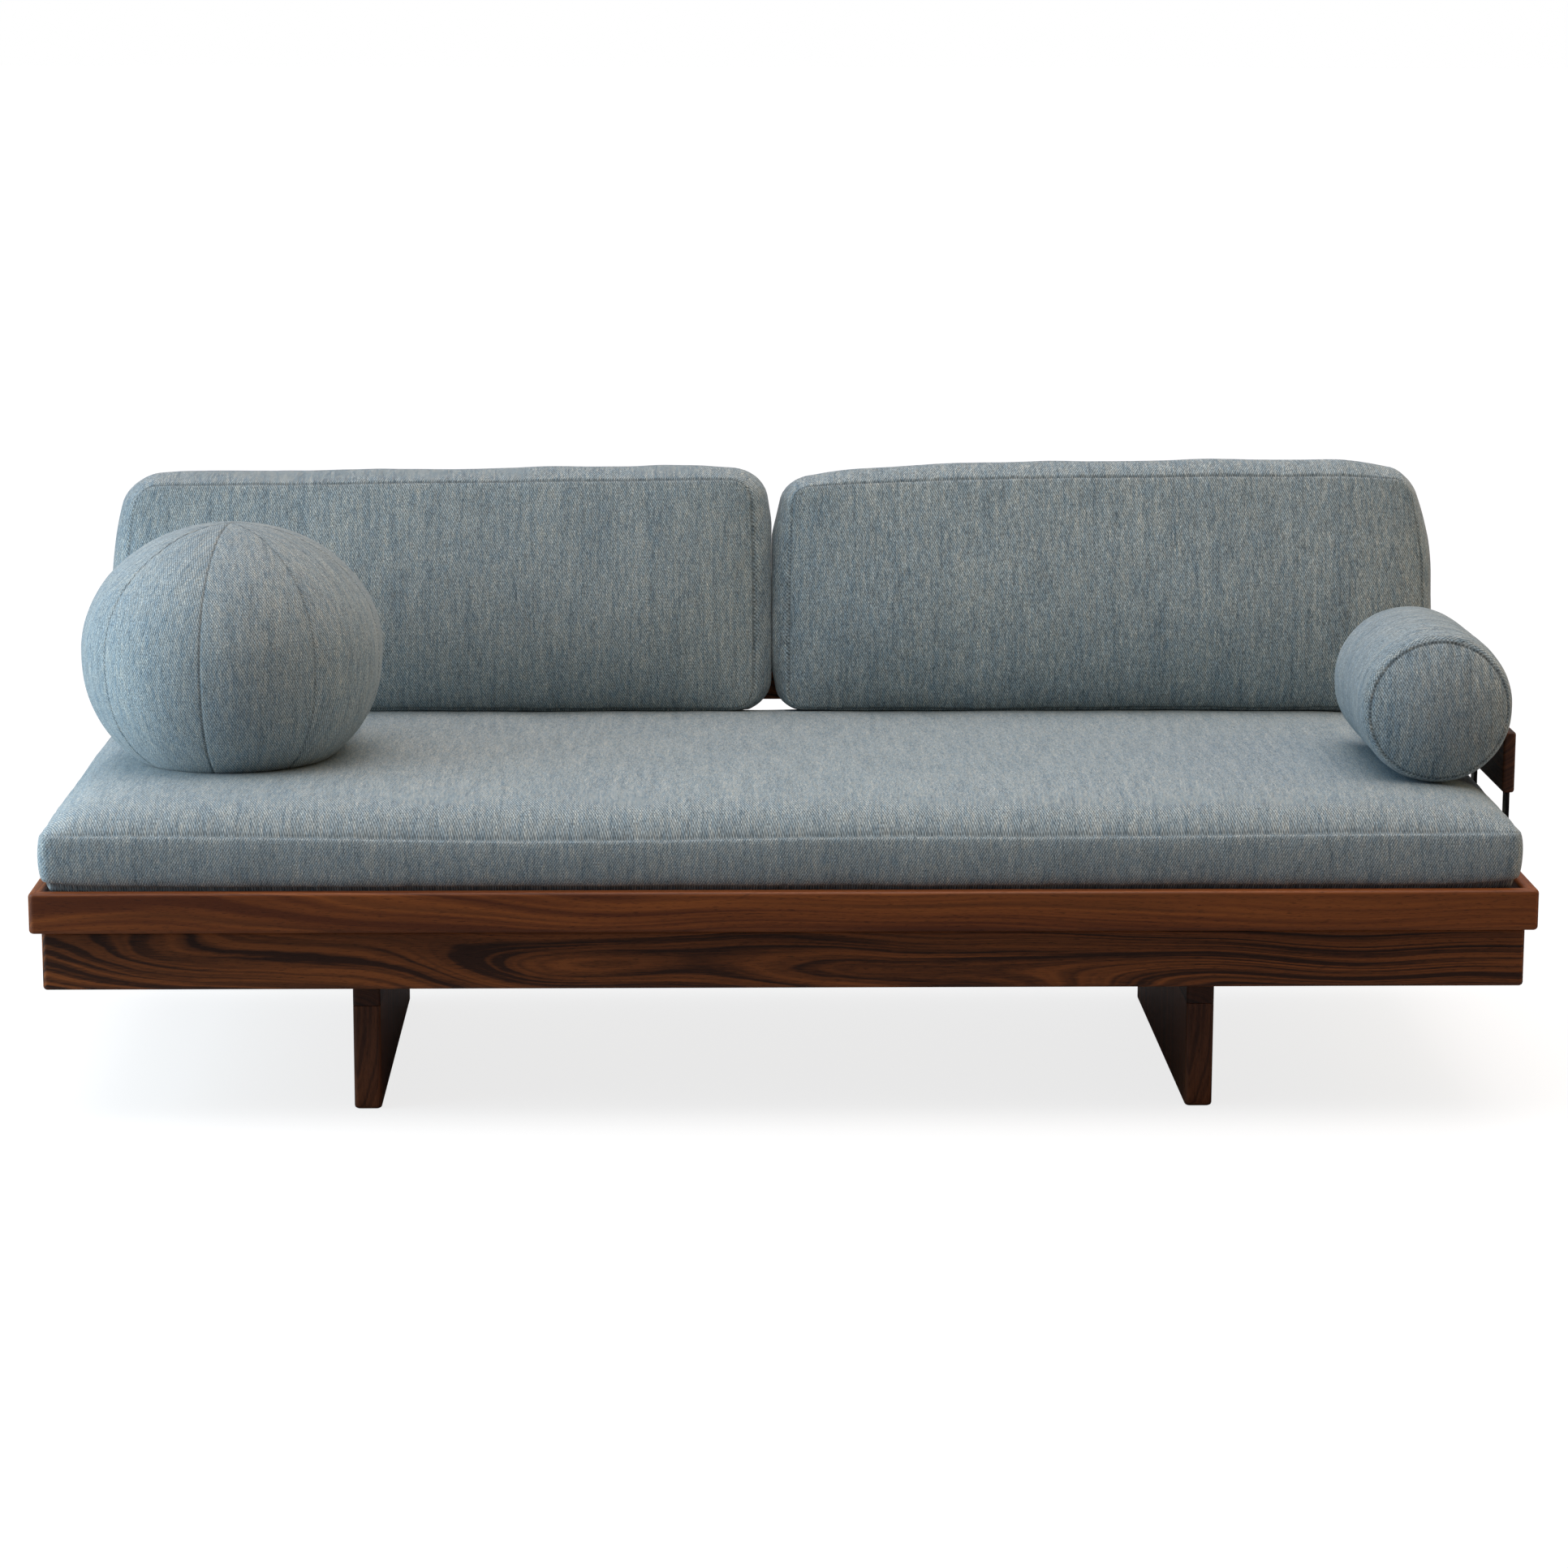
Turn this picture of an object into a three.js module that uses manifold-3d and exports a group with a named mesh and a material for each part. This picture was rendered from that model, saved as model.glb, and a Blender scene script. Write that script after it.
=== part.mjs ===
// Daybed: a shallow wooden tray on a recessed apron and two slab legs, with a mattress, two back
// cushions, a round pillow and a bolster, and a back board and a short arm board on flat steel bars.
// Millimetres, +Z up. Origin: on the floor, at the centre of the footprint. The front faces -Y.
import * as THREE from 'three';
import Module from 'manifold-3d';
import { mergeVertices } from 'three/addons/utils/BufferGeometryUtils.js';

const wasm = await Module();
wasm.setup();

// ---------------------------------------------------------------- driving dimensions
const gap = 0.3; // clearance left between pieces that touch
const cutReach = 10; // how far a cutting body stands out past what it cuts
const roundSteps = 2; // facets on a rounded edge, and on a quarter of a rounded corner

const tray = { length: 2040, depth: 840, top: 330, height: 56, wall: 20, edge: 5, corner: 8 };
const apron = { insetX: 14, insetY: 19, bottom: 192, wall: 20, edge: 5, corner: 7 };
const ledger = { width: 22, endClear: 60 };
const slat = { count: 11, pitch: 184, width: 90, top: 315, thickness: 14.7, endClear: 2, edge: 2, corner: 4 };
const beam = { width: 38, height: 38 };
const bearer = { width: 60, bottom: 192.3 };
const block = { leg: 62, bottom: 202, top: 268 };

const leg = { outerX: 595, thickness: 38, setback: 108, panelTop: 147, edge: 5, corner: 6, railEdge: 2 };
const bolt = { radius: 4, headRadius: 8, headHeight: 5, length: 155, spreadY: 170, recess: 8, sides: 8 };

const bar = { thickness: 5, width: 25, intoRail: 44, intoBoard: 50 };
const board = { thickness: 17, edge: 4, corner: 5, outerClear: 0.5 };
const armBoard = { bottom: 426, height: 86, frontY: -225, length: 270, barInset: 3 };
const backBoard = { bottom: 451, height: 120, length: 1880, barsX: [-840, -280, 280, 840] };

const cover = { wall: 3, zipWidth: 8, zipReach: 12, zipOver: 2 };
const mattress = { left: -1010, right: 1001.5, front: -407.5, rear: 401.5, corner: 45 };
const mattressZip = { halfLength: 700, z: 366 };
const cushion = { front: 254, rear: 400, bottom: 458.5, corner: 62, crown: 34, pullIn: 18, segments: 3 };
const cushionZip = { endClear: 150 };
const leftCushion = { left: -1000, right: -6.5, top: 821 };
const rightCushion = { left: -3.5, right: 997, top: 832 };
const pillow = { x: -775, y: -65, z: 609, radius: 210, halfHeight: 176, seat: 458.6, sides: 20, steps: 10 };
const pillowZip = { halfLength: 110, from: 0.7 };
const bolster = { x: 900, z: 555.3, radius: 104, front: -298, rear: 30, edge: 16, sides: 24 };
const bolsterZip = { endClear: 50 };

// the mattress's side, from its underside up over the top seam to the crown: distance in from the
// widest outline, and height
const mattressSide = [
  [20, 315.3], [11.5, 325], [7, 334], [0, 360], [1, 386], [9, 407],
  [20, 424], [44, 438], [90, 449], [180, 456], [385, 457.8],
];

// ---------------------------------------------------------------- materials
const finish = (color, roughness, metalness = 0) => (
  new THREE.MeshStandardMaterial({ color, roughness, metalness })
);
const walnut = () => finish(0x4a2a1c, 0.5);
const plywood = () => finish(0xb48a5c, 0.7);
const blackSteel = () => finish(0x242326, 0.45, 0.8);
const zincSteel = () => finish(0x9a9a98, 0.4, 1);
const melange = () => finish(0x8796a0, 0.95);
const stuffing = () => finish(0xe9e6dc, 1);
const zipTape = () => finish(0x6d7a84, 0.9);

// ---------------------------------------------------------------- solids
const group = new THREE.Group();

/** A closed geometry as a solid that can be joined and cut. */
function solidOf(geometry) {
  const bare = geometry.clone();
  bare.deleteAttribute('normal');
  bare.deleteAttribute('uv');
  const merged = mergeVertices(bare, 1e-4);
  const vertProperties = new Float32Array(merged.attributes.position.array);
  const triVerts = new Uint32Array(merged.index.array);
  return new wasm.Manifold(new wasm.Mesh({ numProp: 3, vertProperties, triVerts }));
}

/** A solid back as a geometry. */
function geometryOf(solid) {
  const mesh = solid.getMesh();
  const geometry = new THREE.BufferGeometry();
  geometry.setAttribute('position', new THREE.BufferAttribute(mesh.vertProperties, 3));
  geometry.setIndex(new THREE.BufferAttribute(mesh.triVerts, 1));
  geometry.computeVertexNormals();
  return geometry;
}

/** Puts a named piece into the model. */
function add(name, geometry, material) {
  const mesh = new THREE.Mesh(geometry, material);
  mesh.name = name;
  group.add(mesh);
}

/** A rectangle with round corners, centred on the origin. */
function roundedRectangle(width, height, radius) {
  const x = width / 2 - radius;
  const y = height / 2 - radius;
  const outline = new THREE.Shape();
  outline.absarc(x, y, radius, 0, Math.PI / 2);
  outline.absarc(-x, y, radius, Math.PI / 2, Math.PI);
  outline.absarc(-x, -y, radius, Math.PI, Math.PI * 1.5);
  outline.absarc(x, -y, radius, Math.PI * 1.5, Math.PI * 2);
  outline.closePath();
  return outline;
}

/** A board from low to high with every edge rounded; corner is the radius seen from above. */
function boardBetween(low, high, edge, corner, segments) {
  const size = high.map((value, axis) => value - low[axis]);
  const outline = roundedRectangle(size[0] - 2 * edge, size[1] - 2 * edge, corner - edge);
  const geometry = new THREE.ExtrudeGeometry(outline, {
    depth: size[2] - 2 * edge,
    bevelThickness: edge,
    bevelSize: edge,
    bevelSegments: segments,
    curveSegments: segments,
  });
  geometry.translate((low[0] + high[0]) / 2, (low[1] + high[1]) / 2, low[2] + edge);
  return geometry;
}

/** A plain board from low to high, for what is out of sight. */
function boxBetween(low, high) {
  const size = high.map((value, axis) => value - low[axis]);
  const geometry = new THREE.BoxGeometry(...size);
  geometry.translate(...low.map((value, axis) => value + size[axis] / 2));
  return geometry;
}

/** A rectangular frame of four walls seen from above, with every edge rounded. */
function ringBetween(halfX, halfY, bottom, top, shape) {
  const { wall, edge, corner } = shape;
  const outline = roundedRectangle(2 * (halfX - edge), 2 * (halfY - edge), corner - edge);
  const inner = roundedRectangle(2 * (halfX - wall + edge), 2 * (halfY - wall + edge), edge + 1);
  outline.holes.push(new THREE.Path(inner.getPoints(roundSteps).reverse()));
  const geometry = new THREE.ExtrudeGeometry(outline, {
    depth: top - bottom - 2 * edge,
    bevelThickness: edge,
    bevelSize: edge,
    bevelSegments: roundSteps,
    curveSegments: roundSteps,
  });
  geometry.translate(0, 0, bottom + edge);
  return solidOf(geometry);
}

/** The quarter of a ring that lies towards -Y, as a prism that ends on its two mitre lines. */
function mitreWedge(halfX, halfY, wall, bottom, top, angle) {
  const outer = halfX + cutReach - gap / Math.SQRT2;
  const inner = halfX - wall - cutReach - gap / Math.SQRT2;
  const outline = new THREE.Shape([
    new THREE.Vector2(-outer, -halfY - cutReach),
    new THREE.Vector2(outer, -halfY - cutReach),
    new THREE.Vector2(inner, -halfY + wall + cutReach),
    new THREE.Vector2(-inner, -halfY + wall + cutReach),
  ]);
  const geometry = new THREE.ExtrudeGeometry(outline, {
    depth: top - bottom + 2 * cutReach,
    bevelEnabled: false,
  });
  geometry.translate(0, 0, bottom - cutReach);
  geometry.rotateZ(angle);
  return solidOf(geometry);
}

/** Cuts a ring into its four mitred boards: front, right, back and left. */
function mitredBoards(halfX, halfY, bottom, top, shape) {
  const ring = ringBetween(halfX, halfY, bottom, top, shape);
  return Object.fromEntries(['front', 'right', 'back', 'left'].map((side, turn) => {
    const across = turn % 2 ? [halfY, halfX] : [halfX, halfY];
    const wedge = mitreWedge(...across, shape.wall, bottom, top, turn * Math.PI / 2);
    return [side, ring.intersect(wedge)];
  }));
}

/** Closed rings of points, one above another, joined into a closed solid. */
function loft(rings) {
  const count = rings[0].length;
  const last = rings.length - 1;
  const positions = rings.flat().flatMap((point) => point.toArray());
  const index = [];
  for (let row = 0; row < last; row += 1) {
    for (let step = 0; step < count; step += 1) {
      const a = row * count + step;
      const b = row * count + (step + 1) % count;
      index.push(a, b, b + count, a, b + count, a + count);
    }
  }
  for (let step = 1; step < count - 1; step += 1) {
    index.push(0, step + 1, step);
    index.push(last * count, last * count + step, last * count + step + 1);
  }
  const geometry = new THREE.BufferGeometry();
  geometry.setAttribute('position', new THREE.Float32BufferAttribute(positions, 3));
  geometry.setIndex(index);
  return geometry;
}

/** A flat bar's slot, with clearance all round. */
function slotFor(low, high) {
  const wide = low.map((value) => value - gap);
  return solidOf(boxBetween(wide, high.map((value) => value + gap)));
}

// ---------------------------------------------------------------- steel bars and their boards
const railBottom = tray.top - tray.height;
const halfLength = tray.length / 2;
const halfDepth = tray.depth / 2;
const boardMiddle = board.outerClear + board.thickness / 2;

/** The two corners of an upright bar of the arm, which stands in the right rail. */
function armBarBox(frontY) {
  const x = halfLength - boardMiddle;
  const low = [x - bar.thickness / 2, frontY, tray.top - bar.intoRail];
  return [low, [x + bar.thickness / 2, frontY + bar.width, armBoard.bottom + bar.intoBoard]];
}

/** The two corners of an upright bar of the back board, which stands in the back rail. */
function backBarBox(x) {
  const y = halfDepth - boardMiddle;
  const low = [x - bar.width / 2, y - bar.thickness / 2, tray.top - bar.intoRail];
  return [low, [x + bar.width / 2, y + bar.thickness / 2, backBoard.bottom + bar.intoBoard]];
}

const armRearY = armBoard.frontY + armBoard.length;
const armBars = {
  arm_bar_front: armBarBox(armBoard.frontY + armBoard.barInset),
  arm_bar_rear: armBarBox(armRearY - armBoard.barInset - bar.width),
};
const backBars = Object.fromEntries(backBoard.barsX.map((x, number) => (
  [`back_bar_${number + 1}`, backBarBox(x)]
)));

/** Adds the bars, and the board that they carry with a slot for each of them. */
function addBoardOnBars(name, geometry, bars) {
  let solid = solidOf(geometry);
  for (const [barName, [low, high]] of Object.entries(bars)) {
    add(barName, boxBetween(low, high), blackSteel());
    solid = solid.subtract(slotFor(low, high));
  }
  add(name, geometryOf(solid), walnut());
}

function addArm() {
  const x = halfLength - board.outerClear;
  const low = [x - board.thickness, armBoard.frontY, armBoard.bottom];
  const high = [x, armRearY, armBoard.bottom + armBoard.height];
  addBoardOnBars('arm_board', boardBetween(low, high, board.edge, board.corner, roundSteps), armBars);
}

function addBack() {
  const y = halfDepth - board.outerClear;
  const low = [-backBoard.length / 2, y - board.thickness, backBoard.bottom];
  const high = [backBoard.length / 2, y, backBoard.bottom + backBoard.height];
  addBoardOnBars('back_board', boardBetween(low, high, board.edge, board.corner, roundSteps), backBars);
}

// ---------------------------------------------------------------- tray, apron and their insides
function addTray() {
  const rails = mitredBoards(halfLength, halfDepth, railBottom, tray.top, tray);
  for (const [low, high] of Object.values(armBars)) {
    rails.right = rails.right.subtract(slotFor(low, high));
  }
  for (const [low, high] of Object.values(backBars)) {
    rails.back = rails.back.subtract(slotFor(low, high));
  }
  for (const [side, solid] of Object.entries(rails)) {
    add(`tray_rail_${side}`, geometryOf(solid), walnut());
  }
}

const apronHalfX = halfLength - apron.insetX;
const apronHalfY = halfDepth - apron.insetY;
const insideX = apronHalfX - apron.wall - gap;
const insideY = apronHalfY - apron.wall - gap;

function addApron() {
  const boards = mitredBoards(apronHalfX, apronHalfY, apron.bottom, railBottom - gap, apron);
  for (const [side, solid] of Object.entries(boards)) {
    add(`apron_${side}`, geometryOf(solid), walnut());
  }
}

/** A three-cornered glue block in each inside corner of the apron. */
function addCornerBlocks() {
  const outline = new THREE.Shape([
    new THREE.Vector2(0, 0),
    new THREE.Vector2(-block.leg, 0),
    new THREE.Vector2(0, -block.leg),
  ]);
  const depth = block.top - block.bottom;
  const corners = [
    ['back_right', insideX, insideY, 0],
    ['back_left', -insideX, insideY, Math.PI / 2],
    ['front_left', -insideX, -insideY, Math.PI],
    ['front_right', insideX, -insideY, -Math.PI / 2],
  ];
  for (const [corner, x, y, angle] of corners) {
    const geometry = new THREE.ExtrudeGeometry(outline, { depth, bevelEnabled: false });
    geometry.rotateZ(angle);
    geometry.translate(x, y, block.bottom);
    add(`corner_block_${corner}`, geometry, plywood());
  }
}

const slatBottom = slat.top - slat.thickness;
const supportTop = slatBottom - gap;

/** The strips inside the front and back rails that the slats' ends lie on. */
function addLedgers() {
  const x = halfLength - tray.wall - ledger.endClear;
  const outer = halfDepth - tray.wall - gap;
  const inner = outer - ledger.width;
  add('ledger_front', boxBetween([-x, -outer, railBottom], [x, -inner, supportTop]), plywood());
  add('ledger_back', boxBetween([-x, inner, railBottom], [x, outer, supportTop]), plywood());
}

function addSlats() {
  const y = halfDepth - tray.wall - slat.endClear;
  for (let number = 0; number < slat.count; number += 1) {
    const x = (number - (slat.count - 1) / 2) * slat.pitch;
    const low = [x - slat.width / 2, -y, slatBottom];
    const high = [x + slat.width / 2, y, slat.top];
    const name = `slat_${String(number + 1).padStart(2, '0')}`;
    add(name, boardBetween(low, high, slat.edge, slat.corner, 1), plywood());
  }
}

function addCentreBeam() {
  const low = [-insideX, -beam.width / 2, supportTop - beam.height];
  add('centre_beam', boxBetween(low, [insideX, beam.width / 2, supportTop]), plywood());
}

// ---------------------------------------------------------------- legs
const legX = leg.outerX - leg.thickness / 2;
const legHalfY = halfDepth - leg.setback;
const bearerTop = supportTop - beam.height - gap;

/** A bolt's shape, or its hole when grow is the clearance round it. */
function boltGeometry(x, y, grow) {
  const headTop = bearerTop - bolt.recess + bolt.headHeight + (grow > 0 ? bolt.recess : 0);
  const headBottom = bearerTop - bolt.recess - grow;
  const tip = bearerTop - bolt.length - grow;
  const profile = [
    new THREE.Vector2(0, tip),
    new THREE.Vector2(bolt.radius + grow, tip),
    new THREE.Vector2(bolt.radius + grow, headBottom),
    new THREE.Vector2(bolt.headRadius + grow, headBottom),
    new THREE.Vector2(bolt.headRadius + grow, headTop),
    new THREE.Vector2(0, headTop),
  ];
  const geometry = new THREE.LatheGeometry(profile, bolt.sides);
  geometry.rotateX(Math.PI / 2);
  geometry.translate(x, y, 0);
  return geometry;
}

/** A leg: a slab panel and its top rail, bolted up under a cross bearer inside the apron. */
function addLeg(side, sign) {
  const x = sign * legX;
  const half = leg.thickness / 2;
  const railBase = leg.panelTop + gap;
  const railHead = bearer.bottom - gap;
  const panel = boardBetween(
    [x - half, -legHalfY, 0], [x + half, legHalfY, leg.panelTop], leg.edge, leg.corner, roundSteps,
  );
  const topRail = boardBetween(
    [x - half, -legHalfY, railBase], [x + half, legHalfY, railHead], leg.railEdge, leg.corner,
    roundSteps,
  );
  const bearerBox = boxBetween(
    [x - bearer.width / 2, -insideY, bearer.bottom], [x + bearer.width / 2, insideY, bearerTop],
  );
  const pieces = {
    [`leg_panel_${side}`]: [solidOf(panel), walnut()],
    [`leg_top_rail_${side}`]: [solidOf(topRail), walnut()],
    [`cross_bearer_${side}`]: [solidOf(bearerBox), plywood()],
  };
  const places = { front: -bolt.spreadY, back: bolt.spreadY };
  for (const [place, y] of Object.entries(places)) {
    add(`leg_bolt_${side}_${place}`, boltGeometry(x, y, 0), zincSteel());
    const hole = solidOf(boltGeometry(x, y, gap));
    for (const piece of Object.values(pieces)) {
      piece[0] = piece[0].subtract(hole);
    }
  }
  for (const [name, [solid, material]] of Object.entries(pieces)) {
    add(name, geometryOf(solid), material);
  }
}

// ---------------------------------------------------------------- soft pieces
/**
 * A soft piece as its cover, the filling inside it and the zip that closes the cover. The filling
 * is the outer form made smaller about its middle; the zip is the patch of cover inside zipBox.
 */
function addSoft(name, geometry, [low, high]) {
  geometry.computeBoundingBox();
  const size = geometry.boundingBox.getSize(new THREE.Vector3());
  const middle = geometry.boundingBox.getCenter(new THREE.Vector3());
  const shrunk = (inset) => {
    const factors = size.toArray().map((length) => 1 - 2 * inset / length);
    const smaller = geometry.clone().translate(...middle.clone().negate().toArray());
    return solidOf(smaller.scale(...factors).translate(...middle.toArray()));
  };
  const shell = solidOf(geometry).subtract(shrunk(cover.wall));
  const zipOpening = solidOf(boxBetween(low, high));
  const zipBox = solidOf(boxBetween(
    low.map((value) => value + gap), high.map((value) => value - gap),
  ));
  add(`${name}_cover`, geometryOf(shell.subtract(zipOpening)), melange());
  add(`${name}_filling`, geometryOf(shrunk(cover.wall + 2 * gap)), stuffing());
  add(`${name}_zip`, geometryOf(shell.intersect(zipBox)), zipTape());
}

/** One level of the mattress: its outline drawn in by inset, at height z. */
function mattressRing([inset, z]) {
  const length = mattress.right - mattress.left - 2 * inset;
  const depth = mattress.rear - mattress.front - 2 * inset;
  const corner = Math.min(mattress.corner, depth * 0.45);
  const outline = roundedRectangle(length, depth, corner).getPoints(roundSteps);
  const x = (mattress.left + mattress.right) / 2;
  const y = (mattress.front + mattress.rear) / 2;
  return outline.slice(0, -1).map((point) => new THREE.Vector3(point.x + x, point.y + y, z));
}

function addMattress() {
  const half = cover.zipWidth / 2;
  const { halfLength: reach, z } = mattressZip;
  addSoft('mattress', loft(mattressSide.map(mattressRing)), [
    [-reach, mattress.rear - cover.zipReach, z - half],
    [reach, mattress.rear + cover.zipOver, z + half],
  ]);
}

/** An upright cushion with rounded corners and a crowned face all round. */
function addCushion(name, { left, right, top }) {
  const { front, rear, bottom, corner, crown, pullIn, segments } = cushion;
  const outline = roundedRectangle(
    right - left - 2 * pullIn, top - bottom - 2 * pullIn, corner - pullIn,
  );
  const geometry = new THREE.ExtrudeGeometry(outline, {
    depth: rear - front - 2 * crown,
    bevelThickness: crown,
    bevelSize: pullIn,
    bevelSegments: segments,
    curveSegments: segments,
  });
  geometry.rotateX(Math.PI / 2);
  geometry.translate((left + right) / 2, rear - crown, (bottom + top) / 2);
  const zipY = (front + rear) / 2;
  const half = cover.zipWidth / 2;
  addSoft(name, geometry, [
    [left + cushionZip.endClear, zipY - half, bottom - cover.zipOver],
    [right - cushionZip.endClear, zipY + half, bottom + cover.zipReach],
  ]);
}

/** The round pillow: a flattened ball, squashed where it sits. */
function addPillow() {
  const { x, y, z, radius, halfHeight, seat, steps, sides } = pillow;
  const start = Math.asin((seat - z) / halfHeight);
  const profile = [new THREE.Vector2(0, seat - z)];
  for (let step = 0; step < steps; step += 1) {
    const angle = start + (Math.PI / 2 - start) * step / steps;
    profile.push(new THREE.Vector2(radius * Math.cos(angle), halfHeight * Math.sin(angle)));
  }
  profile.push(new THREE.Vector2(0, halfHeight));
  const geometry = new THREE.LatheGeometry(profile, sides);
  geometry.rotateX(Math.PI / 2);
  geometry.translate(x, y, z);
  const half = cover.zipWidth / 2;
  addSoft('ball_pillow', geometry, [
    [x - pillowZip.halfLength, y + radius * pillowZip.from, z - half],
    [x + pillowZip.halfLength, y + radius + cover.zipOver, z + half],
  ]);
}

/** The bolster: a short fat cylinder that lies front to back, with rounded ends. */
function addBolster() {
  const { radius, front, rear, edge } = bolster;
  const half = (rear - front) / 2;
  const profile = [new THREE.Vector2(0, -half)];
  for (const [end, from] of [[-1, -Math.PI / 2], [1, 0]]) {
    for (let step = 0; step <= roundSteps; step += 1) {
      const angle = from + Math.PI / 2 * step / roundSteps;
      const across = radius - edge + edge * Math.cos(angle);
      profile.push(new THREE.Vector2(across, end * (half - edge) + edge * Math.sin(angle)));
    }
  }
  profile.push(new THREE.Vector2(0, half));
  const geometry = new THREE.LatheGeometry(profile, bolster.sides);
  geometry.translate(bolster.x, (front + rear) / 2, bolster.z);
  const width = cover.zipWidth / 2;
  addSoft('bolster', geometry, [
    [bolster.x - radius - cover.zipOver, front + bolsterZip.endClear, bolster.z - width],
    [bolster.x - radius + cover.zipReach, rear - bolsterZip.endClear, bolster.z + width],
  ]);
}

// ---------------------------------------------------------------- the daybed
addTray();
addApron();
addCornerBlocks();
addLedgers();
addCentreBeam();
addSlats();
addLeg('left', -1);
addLeg('right', 1);
addArm();
addBack();
addMattress();
addCushion('left_back_cushion', leftCushion);
addCushion('right_back_cushion', rightCushion);
addPillow();
addBolster();

export default group;
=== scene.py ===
# %% [markdown]
# # A walnut daybed with loose cushions
# The real object is a shallow tray of walnut boards on two slab legs. A mattress lies in the tray, two
# long back cushions stand on it, and a ball pillow and a bolster lie at its ends. The CAD model already
# says how big everything is and where it stands, so this lesson only makes the surfaces: rounded boards
# with grain, and sewn covers with a woven, melange cloth. Everything is in metres, in the CAD's frame.

# %% Load the frame
import math

import bmesh
import bpy
import numpy as np
from mathutils import Matrix, Vector


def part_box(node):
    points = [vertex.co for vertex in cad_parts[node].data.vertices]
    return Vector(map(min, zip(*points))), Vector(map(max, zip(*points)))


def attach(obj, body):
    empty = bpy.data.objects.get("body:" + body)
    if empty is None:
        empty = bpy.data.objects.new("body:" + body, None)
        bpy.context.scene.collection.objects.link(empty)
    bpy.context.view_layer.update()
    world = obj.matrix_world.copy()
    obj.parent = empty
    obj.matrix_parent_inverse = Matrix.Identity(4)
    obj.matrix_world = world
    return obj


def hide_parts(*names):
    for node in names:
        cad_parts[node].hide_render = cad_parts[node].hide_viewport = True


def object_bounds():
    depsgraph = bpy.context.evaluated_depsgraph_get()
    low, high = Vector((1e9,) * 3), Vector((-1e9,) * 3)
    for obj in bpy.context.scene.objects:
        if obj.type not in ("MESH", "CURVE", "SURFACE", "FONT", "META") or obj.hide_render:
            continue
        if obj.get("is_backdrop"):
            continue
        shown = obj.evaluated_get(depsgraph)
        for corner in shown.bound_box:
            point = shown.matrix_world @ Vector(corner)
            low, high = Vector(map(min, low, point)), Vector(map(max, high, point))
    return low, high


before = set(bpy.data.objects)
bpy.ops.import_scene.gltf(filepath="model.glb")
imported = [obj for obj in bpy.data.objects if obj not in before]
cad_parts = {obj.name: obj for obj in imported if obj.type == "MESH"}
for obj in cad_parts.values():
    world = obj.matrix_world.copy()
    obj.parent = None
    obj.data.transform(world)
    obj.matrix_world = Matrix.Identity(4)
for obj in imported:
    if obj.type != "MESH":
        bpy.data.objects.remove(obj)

scene = bpy.context.scene
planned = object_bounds()
MM = 0.001
print("CAD box", [round(v, 3) for v in (*planned[0], *planned[1])])

# %% [markdown]
# ## The camera
# The bed is seen from a little left of its middle, from standing height, through a long lens, so that
# its upright edges stay nearly parallel.

# %% Make the camera
LENS = 96.9
STAND = (-0.142, -5.974, 1.557)
DOWN, RIGHT, ROLL = math.radians(10.985), math.radians(1.42), math.radians(0.164)

camera_data = bpy.data.cameras.new("camera")
camera_data.lens = LENS
camera_data.sensor_width = 36
camera_data.clip_end = 200
camera = bpy.data.objects.new("camera", camera_data)
scene.collection.objects.link(camera)
aim = Matrix.Rotation(-RIGHT, 4, "Z") @ Matrix.Rotation(math.pi / 2 - DOWN, 4, "X")
camera.matrix_world = Matrix.Translation(STAND) @ aim @ Matrix.Rotation(ROLL, 4, "Z")
scene.camera = camera
print("camera at", STAND)

# %% [markdown]
# ## Shader maths as plain sums
# A procedural material is mostly arithmetic on coordinates. Writing that arithmetic with nodes by hand
# is long, so one class wraps a socket and lets Python's operators add the Math nodes.


# %% A number that varies over a surface
class Number:
    """A socket that carries a number; a sum or product of two of them adds a Math node."""

    def __init__(self, finish, socket):
        self.finish = finish
        self.socket = socket

    def __add__(self, other):
        return self.finish.math("ADD", self, other)

    def __sub__(self, other):
        return self.finish.math("SUBTRACT", self, other)

    def __rsub__(self, other):
        return self.finish.math("SUBTRACT", other, self)

    def __mul__(self, other):
        return self.finish.math("MULTIPLY", self, other)

    __radd__ = __add__
    __rmul__ = __mul__


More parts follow.
